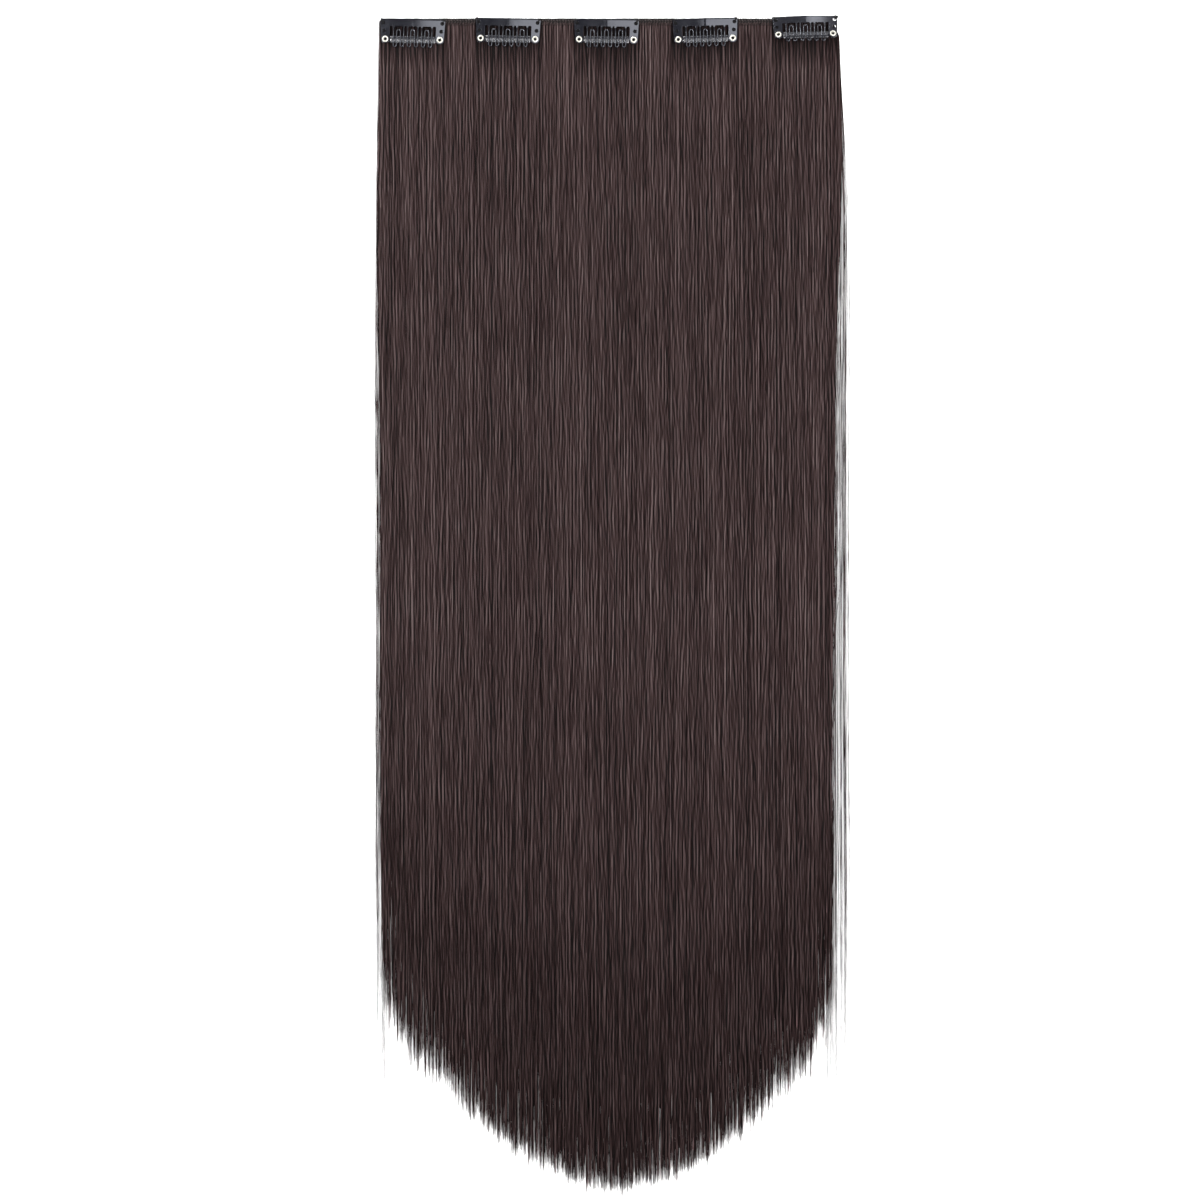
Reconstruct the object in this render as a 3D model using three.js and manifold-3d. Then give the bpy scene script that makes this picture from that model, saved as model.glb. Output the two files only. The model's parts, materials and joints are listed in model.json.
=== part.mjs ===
// A clip-in hair extension: one weft of straight hair sewn into a narrow band, with five snap clips along the band.
// It lies flat, clips up. Millimetres, +Z up, +Y towards the band, the origin under the middle of the whole piece.
import * as THREE from "three";
import { mergeVertices } from "three/addons/utils/BufferGeometryUtils.js";
import Module from "manifold-3d";

const wasm = await Module();
wasm.setup();

// The weft: its hair and the sewn band along the top.
const HAIR_LENGTH = 586; // from the band's top edge to the longest tip, 23 inches
const HAIR_THICKNESS = 5.6; // where the lying hair is fullest
const HAIR_WIDTH_TOP = 230;
const HAIR_WIDTH_LOW = 234;
const LOCK_COUNT = 31;
const LOCK_OVERLAP = 1.3; // a lock's width over the spacing of the locks, so that neighbours fuse
const LOCK_RIDGE = 0.42; // width of a lock's flat top, as a share of its own width
const LOCK_SHOULDER = 0.45; // height of a lock's shoulders, as a share of its own height
const LOCK_DRIFT = 1.6; // how far a lock wanders sideways on its way down
const LOCK_UNEVEN = 0.16; // how much locks differ in height
const BAND_WIDTH = 228;
const BAND_HEIGHT = 2.8;
const BAND_THICKNESS = 2.6;
const BAND_CORNER = 0.8;

// The tips run in a V with a rounded point, and fall away a little more at the two sides.
const TIP_SLOPE = 0.95;
const TIP_ROUNDING = 50; // how wide the rounded point is
const TIP_SIDE_DROP = 10;
const TIP_SIDE_SHARPNESS = 8;
const TIP_TAPER = 34; // length over which a lock narrows to its point
const TIP_WIDTH = 0.22; // width left at the point, as a share of the lock's width
const TIP_SCATTER = 9; // how much shorter than the line a lock may end

// The lying hair seen from the side. at: share of the length; thick: share of the fullest thickness.
const HAIR_PROFILE = [
  { at: 0.0, thick: 0.38 },
  { at: 0.035, thick: 0.39 },
  { at: 0.11, thick: 0.78 },
  { at: 0.26, thick: 1.0 },
  { at: 0.55, thick: 0.96 },
  { at: 0.84, thick: 0.7 },
];
const TIP_THICK = 0.16; // share of the fullest thickness at a lock's point
const SIDE_THIN = 0.5; // share of the thickness left at the two side edges
const SIDE_THIN_SHARPNESS = 6;

// A snap clip: a stamped and painted spring plate with its teeth, and a bar with a grip sleeve between two rivets.
const CLIP_WIDTH = 32.5;
const PLATE_THICKNESS = 0.5;
const TOP_BAR_HEIGHT = 3.9;
const RIVET_DROP = 10.25; // from the plate's top edge to the line of the rivets
const RIVET_SPACING = 27.2;
const WINDOW_WIDTH = 23.2; // between the plate's two arms
const ARM_END_RADIUS = 2.1;
const PLATE_CORNER = 1.1;
const PLATE_ROOF = 0.9; // how far the creased middle stands above the two ends
const CREASE_WIDTH = 0.7;
const CREASE_DEPTH = 0.22;
const SEWING_HOLE_RADIUS = 0.8;
// Sewing holes of the right arm. out: beyond the rivet; up: above the rivet line.
const SEWING_HOLES = [
  { out: 1.1, up: 8.2 },
  { out: 0.65, up: 4.2 },
];

// Teeth are loops of a narrow strip. Each group has two loops joined by a bow, and hangs from the plate by two stubs.
const TOOTH_PITCH = 3.52;
const TOOTH_GROUPS = { left: -1, middle: 0, right: 1 };
const TOOTH_STRIP = 0.7;
const TOOTH_LOOP_RADIUS = 0.8; // to the middle of the strip
const TOOTH_REACH = 14.3; // from the plate's top edge to the loops' ends
const BOW_DROP = 1.7; // from the top bar to the bow
const STUB_LENGTH = 0.6;
const STUB_WIDTH = 0.9;
const HINGE_GAP = 0.3; // between a stub and the tooth that swings up from it

const BAR_HEIGHT = 2.1;
const BAR_THICKNESS = 0.4;
const BAR_END_RADIUS = 1.9;
const SLEEVE_HEIGHT = 3.6;
const SLEEVE_THICKNESS = 1.2;
const SLEEVE_LENGTH = 22.6;
const EYELET_BORE = 0.62;
const EYELET_BARREL = 0.95;
const EYELET_RIM = 1.62;
const EYELET_LIP = 0.25;
const EYELET_CHAMFER = 0.12;
const PLAY = 0.15; // between a clip's own pieces
const SEAT_GAP = 0.3; // between the band and what is sewn to it

// Where the clips sit. along: from the band's middle; above: top edge over the band's top edge;
// turn and lift: degrees, in the plane of the weft and off it about the clip's own top edge.
const CLIPS = [
  { along: -98.4, above: -0.4, turn: -1.3, lift: 3.5 },
  { along: -50.8, above: 0.0, turn: -1.2, lift: 3.5 },
  { along: -1.7, above: -0.4, turn: -0.6, lift: 3.5 },
  { along: 47.4, above: 0.0, turn: 1.7, lift: 3.5 },
  { along: 97.4, above: 0.8, turn: 1.3, lift: 25 },
];

const PAINT_BLACK = new THREE.MeshStandardMaterial({ color: 0x14141a, roughness: 0.28, metalness: 0.3 });
const NICKEL = new THREE.MeshStandardMaterial({ color: 0xe9e4d8, roughness: 0.22, metalness: 1 });
const GRIP = new THREE.MeshStandardMaterial({ color: 0x2b2c31, roughness: 0.3, metalness: 0 });
const HAIR = new THREE.MeshStandardMaterial({ color: 0x443737, roughness: 0.45, metalness: 0 });
const THREAD = new THREE.MeshStandardMaterial({ color: 0x30282a, roughness: 0.8, metalness: 0 });

const halfWindow = WINDOW_WIDTH / 2;
const halfClip = CLIP_WIDTH / 2;
const rivetX = RIVET_SPACING / 2;
const roofAngle = Math.atan(PLATE_ROOF / halfClip);
const stubEnd = -(TOP_BAR_HEIGHT + STUB_LENGTH);
const barMiddle = -(PLAY + BAR_THICKNESS / 2);
const ridgeLap = 2 * PLATE_THICKNESS * Math.tan(roofAngle); // how far each half runs over the crease

// Booleans: geometry to solid and back.
function solidOf(geometry) {
  const bare = geometry.index ? geometry.toNonIndexed() : geometry.clone();
  bare.deleteAttribute("normal");
  bare.deleteAttribute("uv");
  const merged = mergeVertices(bare, 1e-4);
  return new wasm.Manifold(
    new wasm.Mesh({
      numProp: 3,
      vertProperties: merged.attributes.position.array,
      triVerts: new Uint32Array(merged.index.array),
    }),
  );
}

function geometryOf(solid) {
  const mesh = solid.getMesh();
  const geometry = new THREE.BufferGeometry();
  geometry.setAttribute("position", new THREE.BufferAttribute(new Float32Array(mesh.vertProperties), 3));
  geometry.setIndex(new THREE.BufferAttribute(new Uint32Array(mesh.triVerts), 1));
  geometry.computeVertexNormals();
  return geometry;
}

function plateOf(shape, depth, curveSegments = 3) {
  return new THREE.ExtrudeGeometry(shape, { depth, bevelEnabled: false, curveSegments });
}

function roundHole(shape, x, y, radius) {
  const hole = new THREE.Path();
  hole.absarc(x, y, radius, 0, 2 * Math.PI, true);
  shape.holes.push(hole);
}

function named(name, geometry, material) {
  const mesh = new THREE.Mesh(geometry, material);
  mesh.name = name;
  return mesh;
}

// The same spread of values from 0 to 1 each time, one for each lock and purpose.
function scatter(index, purpose) {
  const x = Math.sin(index * 12.9898 + purpose * 78.233) * 43758.5453;
  return x - Math.floor(x);
}

function tipLine(x) {
  const side = Math.abs(x) / (HAIR_WIDTH_LOW / 2);
  const vee = TIP_SLOPE * (Math.hypot(x, TIP_ROUNDING) - TIP_ROUNDING);
  return HAIR_LENGTH - vee - TIP_SIDE_DROP * side ** TIP_SIDE_SHARPNESS;
}

// One lock: a ridged strip from the band to its point, shaped step by step from the profile table.
function lockSolid(index) {
  const spacing = HAIR_WIDTH_TOP / LOCK_COUNT;
  const width = spacing * LOCK_OVERLAP;
  const across = LOCK_COUNT > 1 ? (2 * index) / (LOCK_COUNT - 1) - 1 : 0;
  const fullest = HAIR_THICKNESS * (1 - LOCK_UNEVEN * scatter(index, 1));
  const sideShare = 1 - (1 - SIDE_THIN) * Math.abs(across) ** SIDE_THIN_SHARPNESS;
  const topX = (across * (HAIR_WIDTH_TOP - width)) / 2;
  const lowX = (across * (HAIR_WIDTH_LOW - width)) / 2;
  const middle = index === (LOCK_COUNT - 1) / 2;
  const end = tipLine(lowX) - (middle ? 0 : TIP_SCATTER * scatter(index, 2));
  const start = BAND_HEIGHT + SEAT_GAP;
  const taperStart = end - TIP_TAPER;
  const stations = HAIR_PROFILE.map(({ at, thick }) => ({
    down: start + at * (HAIR_LENGTH - start),
    thick: thick * fullest * sideShare,
    wide: width,
  })).filter(({ down }) => down < taperStart - TIP_TAPER);
  const last = stations[stations.length - 1];
  stations.push({ down: taperStart, thick: last.thick * 0.75, wide: width });
  stations.push({ down: end, thick: TIP_THICK * fullest, wide: TIP_WIDTH * width });

  // A unit section, 1 wide and 1 high, standing on its flat side.
  const section = new THREE.Shape([
    new THREE.Vector2(-0.5, 0),
    new THREE.Vector2(0.5, 0),
    new THREE.Vector2(0.5, LOCK_SHOULDER),
    new THREE.Vector2(LOCK_RIDGE / 2, 1),
    new THREE.Vector2(-LOCK_RIDGE / 2, 1),
    new THREE.Vector2(-0.5, LOCK_SHOULDER),
  ]);
  const steps = stations.length - 1;
  const geometry = new THREE.ExtrudeGeometry(section, { depth: steps, steps, bevelEnabled: false });
  const position = geometry.getAttribute("position");
  for (let i = 0; i < position.count; i++) {
    const { down, thick, wide } = stations[Math.round(position.getZ(i))];
    const way = (down - start) / (end - start);
    const drift = LOCK_DRIFT * (scatter(index, 3) - 0.5) * Math.sin(Math.PI * way);
    const x = topX + (lowX - topX) * way + drift + position.getX(i) * wide;
    position.setXYZ(i, x, -down, position.getY(i) * thick);
  }
  return solidOf(geometry);
}

function hairGeometry() {
  let hair = lockSolid(0);
  for (let i = 1; i < LOCK_COUNT; i++) hair = hair.add(lockSolid(i));
  return geometryOf(hair);
}

// The sewn band, a bar with rounded edges that lies along X.
function bandGeometry() {
  const [w, h, r] = [BAND_HEIGHT, BAND_THICKNESS, BAND_CORNER];
  const section = new THREE.Shape();
  section.moveTo(-w, 0);
  section.lineTo(0, 0);
  section.lineTo(0, h - r);
  section.absarc(-r, h - r, r, 0, Math.PI / 2, false);
  section.absarc(-w + r, h - r, r, Math.PI / 2, Math.PI, false);
  const geometry = plateOf(section, BAND_WIDTH);
  // The section's X becomes Y, its Y becomes Z and the depth runs along X.
  geometry.applyMatrix4(
    new THREE.Matrix4().makeBasis(
      new THREE.Vector3(0, 1, 0),
      new THREE.Vector3(0, 0, 1),
      new THREE.Vector3(1, 0, 0),
    ),
  );
  return geometry.translate(-BAND_WIDTH / 2, 0, 0);
}

// Centres of the strips that join a tooth group to the plate, measured from the group's middle.
const stubOffset = TOOTH_PITCH / 2 + TOOTH_LOOP_RADIUS;
const groupX = (place) => place * 2 * TOOTH_PITCH;

// The right half of the plate, flat: half the top bar, one arm, and the stubs that carry the teeth.
function halfPlateShape() {
  const shape = new THREE.Shape();
  const edge = -TOP_BAR_HEIGHT;
  shape.moveTo(-ridgeLap, 0);
  shape.lineTo(-ridgeLap, edge);
  const stubs = Object.values(TOOTH_GROUPS)
    .flatMap((place) => [groupX(place) - stubOffset, groupX(place) + stubOffset])
    .filter((x) => x > 0)
    .sort((a, b) => a - b);
  for (const x of stubs) {
    shape.lineTo(x - STUB_WIDTH / 2, edge);
    shape.lineTo(x - STUB_WIDTH / 2, stubEnd);
    shape.lineTo(x + STUB_WIDTH / 2, stubEnd);
    shape.lineTo(x + STUB_WIDTH / 2, edge);
  }
  shape.lineTo(halfWindow, edge);
  shape.lineTo(rivetX - ARM_END_RADIUS, -RIVET_DROP);
  shape.absarc(rivetX, -RIVET_DROP, ARM_END_RADIUS, Math.PI, 2 * Math.PI, false);
  shape.lineTo(halfClip, -PLATE_CORNER);
  shape.absarc(halfClip - PLATE_CORNER, -PLATE_CORNER, PLATE_CORNER, 0, Math.PI / 2, false);
  for (const { out, up } of SEWING_HOLES) roundHole(shape, rivetX + out, up - RIVET_DROP, SEWING_HOLE_RADIUS);
  roundHole(shape, rivetX, -RIVET_DROP, EYELET_BARREL + PLAY);
  return shape;
}

// Turns a piece of the flat right half into place on the roof of the creased plate; side -1 is the left half.
function roofMatrix(side) {
  const turn = new THREE.Matrix4().makeRotationY(side * roofAngle);
  return new THREE.Matrix4().makeTranslation(0, 0, PLATE_ROOF).multiply(turn);
}

function plateGeometry() {
  const right = plateOf(halfPlateShape(), PLATE_THICKNESS, 4);
  const rightSolid = solidOf(right.clone().applyMatrix4(roofMatrix(1)));
  // The left half is the right one turned over about Y.
  const left = right
    .clone()
    .translate(0, 0, -PLATE_THICKNESS)
    .applyMatrix4(new THREE.Matrix4().makeRotationY(Math.PI));
  const leftSolid = solidOf(left.applyMatrix4(roofMatrix(-1)));
  const groove = new THREE.CylinderGeometry(CREASE_WIDTH / 2, CREASE_WIDTH / 2, 2 * TOP_BAR_HEIGHT + 2, 6);
  const grooveZ = PLATE_ROOF + PLATE_THICKNESS + CREASE_WIDTH / 2 - CREASE_DEPTH;
  groove.translate(0, -TOP_BAR_HEIGHT / 2, grooveZ);
  return geometryOf(rightSolid.add(leftSolid).subtract(solidOf(groove)));
}

// One group of teeth, flat: two loops whose inner strips meet in a bow.
function toothGroupShape() {
  const half = TOOTH_STRIP / 2;
  const loopX = TOOTH_PITCH / 2;
  const bowRadius = loopX - TOOTH_LOOP_RADIUS;
  const root = stubEnd - HINGE_GAP;
  const loopY = -TOOTH_REACH + TOOTH_LOOP_RADIUS + half;
  const bowY = -(TOP_BAR_HEIGHT + BOW_DROP) - bowRadius - half;
  const shape = new THREE.Shape();
  shape.moveTo(-stubOffset - half, root);
  shape.lineTo(-stubOffset - half, loopY);
  shape.absarc(-loopX, loopY, TOOTH_LOOP_RADIUS + half, Math.PI, 2 * Math.PI, false);
  shape.absarc(0, bowY, bowRadius - half, Math.PI, 0, true);
  shape.absarc(loopX, loopY, TOOTH_LOOP_RADIUS + half, Math.PI, 2 * Math.PI, false);
  shape.lineTo(stubOffset + half, root);
  shape.lineTo(stubOffset - half, root);
  shape.absarc(loopX, loopY, TOOTH_LOOP_RADIUS - half, 0, Math.PI, true);
  shape.absarc(0, bowY, bowRadius + half, 0, Math.PI, false);
  shape.absarc(-loopX, loopY, TOOTH_LOOP_RADIUS - half, 0, Math.PI, true);
  shape.lineTo(-stubOffset + half, root);
  return shape;
}

// The teeth lie in the plane of the plate, so the side groups share its slope and the middle one is level.
function toothMesh(name, place) {
  const geometry = plateOf(toothGroupShape(), PLATE_THICKNESS).translate(groupX(place), 0, 0);
  if (place === 0) geometry.translate(0, 0, PLATE_ROOF * (1 - stubOffset / halfClip));
  else geometry.applyMatrix4(roofMatrix(place));
  return named(name, geometry, PAINT_BLACK);
}

function barGeometry() {
  const half = BAR_HEIGHT / 2;
  const neck = Math.sqrt(BAR_END_RADIUS ** 2 - half ** 2);
  const angle = Math.asin(half / BAR_END_RADIUS);
  const shape = new THREE.Shape();
  shape.moveTo(-rivetX + neck, -half);
  shape.lineTo(rivetX - neck, -half);
  shape.absarc(rivetX, 0, BAR_END_RADIUS, Math.PI + angle, Math.PI - angle + 2 * Math.PI, false);
  shape.lineTo(-rivetX + neck, half);
  shape.absarc(-rivetX, 0, BAR_END_RADIUS, angle, 2 * Math.PI - angle, false);
  for (const side of [-1, 1]) roundHole(shape, side * rivetX, 0, EYELET_BARREL + PLAY);
  return plateOf(shape, BAR_THICKNESS, 4).translate(0, -RIVET_DROP, barMiddle - BAR_THICKNESS / 2);
}

// A flattened tube over the bar.
function sleeveGeometry() {
  const section = new THREE.Shape();
  section.absellipse(0, 0, SLEEVE_THICKNESS / 2, SLEEVE_HEIGHT / 2, 0, 2 * Math.PI, false, 0);
  const [slotZ, slotY] = [BAR_THICKNESS / 2 + PLAY, BAR_HEIGHT / 2 + PLAY];
  section.holes.push(
    new THREE.Path([
      new THREE.Vector2(-slotZ, -slotY),
      new THREE.Vector2(-slotZ, slotY),
      new THREE.Vector2(slotZ, slotY),
      new THREE.Vector2(slotZ, -slotY),
    ]),
  );
  const geometry = plateOf(section, SLEEVE_LENGTH, 6);
  // The section's X becomes -Z, and the depth runs along X.
  geometry.rotateY(Math.PI / 2);
  return geometry.translate(-SLEEVE_LENGTH / 2, -RIVET_DROP, barMiddle);
}

// A hollow rivet through one arm and the bar's end, turned about the hole's axis.
function eyeletMesh(name, side) {
  const roofAtRivet = PLATE_ROOF * (1 - rivetX / halfClip);
  const top = PLATE_THICKNESS + PLAY;
  const bottom = barMiddle - BAR_THICKNESS / 2 - roofAtRivet - PLAY;
  const profile = [
    [EYELET_BORE, bottom - EYELET_LIP],
    [EYELET_RIM, bottom - EYELET_LIP],
    [EYELET_RIM, bottom],
    [EYELET_BARREL, bottom],
    [EYELET_BARREL, top],
    [EYELET_RIM, top],
    [EYELET_RIM - EYELET_CHAMFER, top + EYELET_LIP],
    [EYELET_BORE, top + EYELET_LIP],
    [EYELET_BORE, bottom - EYELET_LIP],
  ].map(([r, z]) => new THREE.Vector2(r, z));
  const geometry = new THREE.LatheGeometry(profile, 10);
  geometry.rotateX(Math.PI / 2);
  geometry.translate(side * rivetX, -RIVET_DROP, 0).applyMatrix4(roofMatrix(side));
  return named(name, geometry, NICKEL);
}

// A whole clip in its own frame: the top edge along X at y 0, the plate's two ends resting on z 0.
function clipGroup(number) {
  const prefix = "clip_" + number + "_";
  const clip = new THREE.Group();
  clip.add(named(prefix + "plate", plateGeometry(), PAINT_BLACK));
  for (const [word, place] of Object.entries(TOOTH_GROUPS)) clip.add(toothMesh(prefix + "teeth_" + word, place));
  clip.add(named(prefix + "bar", barGeometry(), PAINT_BLACK));
  clip.add(named(prefix + "grip_sleeve", sleeveGeometry(), GRIP));
  clip.add(eyeletMesh(prefix + "rivet_left", -1));
  clip.add(eyeletMesh(prefix + "rivet_right", 1));
  return clip;
}

const weft = new THREE.Group();
weft.add(named("hair", hairGeometry(), HAIR));
weft.add(named("weft_band", bandGeometry(), THREAD));
CLIPS.forEach(({ along, above, turn, lift }, index) => {
  const clip = clipGroup(index + 1);
  clip.rotation.x = -THREE.MathUtils.degToRad(lift);
  const seat = new THREE.Group();
  seat.name = "seat_" + (index + 1);
  seat.position.set(along, above, BAND_THICKNESS + SEAT_GAP);
  seat.rotation.z = THREE.MathUtils.degToRad(turn);
  seat.add(clip);
  weft.add(seat);
});

// Stand the weft's middle over the origin.
const extent = new THREE.Box3().setFromObject(weft, true);
const middle = extent.getCenter(new THREE.Vector3());
weft.position.set(-middle.x, -middle.y, -extent.min.z);
weft.updateMatrixWorld(true);

export default weft;
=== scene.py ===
"""A clip-in hair extension lying flat: one weft of long straight hair, sewn into a band with five snap clips.
The clips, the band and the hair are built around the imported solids, in metres, in their frame."""

import json
import math

import bmesh
import bpy
import numpy as np
from mathutils import Matrix, Vector

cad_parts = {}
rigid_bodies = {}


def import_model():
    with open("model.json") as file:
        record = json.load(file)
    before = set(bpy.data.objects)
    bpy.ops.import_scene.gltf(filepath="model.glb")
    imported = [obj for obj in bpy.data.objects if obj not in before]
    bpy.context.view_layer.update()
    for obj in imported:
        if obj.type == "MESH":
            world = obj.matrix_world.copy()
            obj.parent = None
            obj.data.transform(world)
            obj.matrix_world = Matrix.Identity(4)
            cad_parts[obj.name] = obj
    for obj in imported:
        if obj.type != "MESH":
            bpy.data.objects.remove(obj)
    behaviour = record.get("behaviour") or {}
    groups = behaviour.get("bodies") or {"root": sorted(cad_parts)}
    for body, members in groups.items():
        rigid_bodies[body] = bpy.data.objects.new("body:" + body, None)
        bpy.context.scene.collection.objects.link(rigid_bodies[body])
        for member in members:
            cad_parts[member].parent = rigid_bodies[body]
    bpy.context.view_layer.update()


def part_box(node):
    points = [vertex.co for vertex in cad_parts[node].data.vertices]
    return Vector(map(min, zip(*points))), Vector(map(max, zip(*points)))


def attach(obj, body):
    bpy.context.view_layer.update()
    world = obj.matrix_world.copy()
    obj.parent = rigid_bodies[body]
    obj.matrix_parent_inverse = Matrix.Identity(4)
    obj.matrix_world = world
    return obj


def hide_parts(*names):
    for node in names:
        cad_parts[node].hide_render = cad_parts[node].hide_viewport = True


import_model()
MM = 0.001

# The weft's own sizes, in millimetres. Its frame has y 0 at the band's top edge and x 0 at the band's middle.
HAIR_LENGTH = 592.4
HAIR_FULLEST = 5.6
HAIR_HALF_TOP = 115.2
HAIR_HALF_LOW = 116.2
HAIR_DRAWN_IN = 6.5
BAND_HALF = 114.0
BAND_RIGHT_END = 110.9
CORNER_DRAWN_IN = 3.6
BAND_HEIGHT = 2.8
BAND_THICKNESS = 2.6
TIP_SLOPE = 0.84
TIP_ROUNDING = 44.3
TIP_MIDDLE = 4.2
TIP_SIDE_DROP = 8.9
SEAT_GAP = 0.3
ROOT_HEIGHT = 2.05
CORE_TOP = -0.06
TIP_REACH = 90.0
FLOOR_GAP = 0.14

# A clip's sizes, in its own frame: y 0 along its top edge, z 0 at the back of the plate's two ends.
CLIP_HALF = 16.25
PLATE_THICKNESS = 0.5
TOP_BAR = 3.9
RIVET_X = 13.6
RIVET_Y = -10.25
HALF_WINDOW = 11.6
ARM_END = 2.1
ROOF = 0.9
ROOF_CURVE = 1.2
PITCH = 3.52
LOOP_RADIUS = 0.8
STRIP = 0.66
TOOTH_REACH = 14.3
TOOTH_ROOT = -4.58
BOW_TOP = -5.55
BAR_MIDDLE = -0.35
SLEEVE_LENGTH = 22.6
SLEEVE_HEIGHT = 3.6
SLEEVE_THICKNESS = 1.2
RIB_SPACING = 0.88
SEWING_HOLES = ((14.7, -2.05), (14.25, -6.05))
SEWING_HOLE = 0.92
RIVET_HOLE = 1.05

# Where each clip sits: along the band, over its edge, its turn in the plane and its lift off it, in degrees.
CLIPS = (
    (-98.4, -0.4, -1.3, 3.5),
    (-50.8, 0.0, -1.2, 3.5),
    (-1.7, -0.4, -0.6, 3.5),
    (47.4, 0.0, 1.7, 3.5),
    (97.4, 0.8, 1.3, 25.0),
)

band_low, band_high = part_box("weft_band")
WEFT = Matrix.Translation(((band_low[0] + band_high[0]) / 2, band_high[1], 0)) @ Matrix.Scale(MM, 4)


# Camera and light, in metres, watts and seen from straight above.
PHOTO_WIDTH = 600.0
PHOTO_MIDDLE = (-5.0, -290.5)
CAMERA_HEIGHT = 3.0
SENSOR = 36

camera_data = bpy.data.cameras.new("camera")
camera = bpy.data.objects.new("camera", camera_data)
bpy.context.scene.collection.objects.link(camera)
camera.location = WEFT @ Vector((*PHOTO_MIDDLE, 0))
camera.location.z = CAMERA_HEIGHT
camera_data.sensor_width = SENSOR
camera_data.lens = SENSOR * CAMERA_HEIGHT / (PHOTO_WIDTH * MM)
camera_data.clip_end = 20
bpy.context.scene.camera = camera


def soft_box(name, place, size, power, target=(0, 0.1, 0)):
    """A lamp that faces the target. Its second size runs along the way from the lamp to the target."""
    light = bpy.data.lights.new(name, "AREA")
    light.shape = "RECTANGLE"
    light.size, light.size_y = size
    light.energy = power
    lamp = bpy.data.objects.new(name, light)
    lamp.location = place
    lamp.rotation_euler = (Vector(target) - Vector(place)).to_track_quat("-Z", "Y").to_euler()
    bpy.context.scene.collection.objects.link(lamp)


soft_box("key_light", (1.1, 0.3, 2.2), (1.7, 2.2), 64)
soft_box("strip_light", (-0.24, 0.35, 2.3), (1.4, 0.07), 0.36, target=(0, 0.35, 0))
soft_box("glint_light", (0.7, -0.95, 2.0), (0.3, 0.3), 26)
soft_box("side_glint_light", (-0.85, 0.42, 2.0), (0.36, 0.4), 34)
soft_box("back_glint_light", (-0.9, 2.4, 1.6), (0.4, 0.4), 34)
soft_box("low_light", (0.5, -2.4, 1.1), (1.8, 0.5), 22)
soft_box("back_light", (0.315, 2.45, 1.5), (0.23, 0.8), 3.8)
soft_box("far_light", (-2.6, 0.4, 1.5), (0.8, 2.0), 16)

# The room is pale at the sides and dark overhead, which the lacquer of the clips mirrors.
world = bpy.data.worlds.new("studio")
bpy.context.scene.world = world
world.use_nodes = True
sky = world.node_tree
height_up = sky.nodes.new("ShaderNodeSeparateXYZ")
walls = sky.nodes.new("ShaderNodeValToRGB")
sky.links.new(sky.nodes.new("ShaderNodeTexCoord").outputs["Generated"], height_up.inputs[0])
sky.links.new(height_up.outputs["Z"], walls.inputs[0])
sky.links.new(walls.outputs[0], sky.nodes["Background"].inputs["Color"])
walls.color_ramp.elements[0].color = (0.87, 0.86, 0.87, 1)
walls.color_ramp.elements[1].color = (0.05, 0.05, 0.055, 1)
walls.color_ramp.elements[0].position = 0.25
walls.color_ramp.elements[1].position = 0.85
bpy.context.scene.view_settings.view_transform = "Standard"


# Shader helpers.
def shader_group(name, inlets, outlets):
    """A shader node group with its named inlets and outlets, and its two end nodes."""
    tree = bpy.data.node_groups.new(name, "ShaderNodeTree")
    for label, value in inlets.items():
        socket = tree.interface.new_socket(name=label, in_out="INPUT", socket_type="NodeSocketFloat")
        socket.default_value = value
    for label in outlets:
        tree.interface.new_socket(name=label, in_out="OUTPUT", socket_type="NodeSocketFloat")
    return tree, tree.nodes.new("NodeGroupInput"), tree.nodes.new("NodeGroupOutput")


def put(tree, kind, inlets=(), **settings):
    """Adds a node, sets its properties, and fills its inlets with values or links."""
    node = tree.nodes.new(kind)
    for key, value in settings.items():
        setattr(node, key, value)
    for key, value in dict(inlets).items():
        if isinstance(value, bpy.types.NodeSocket):
            tree.links.new(value, node.inputs[key])
        else:
            node.inputs[key].default_value = value
    return node


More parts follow.
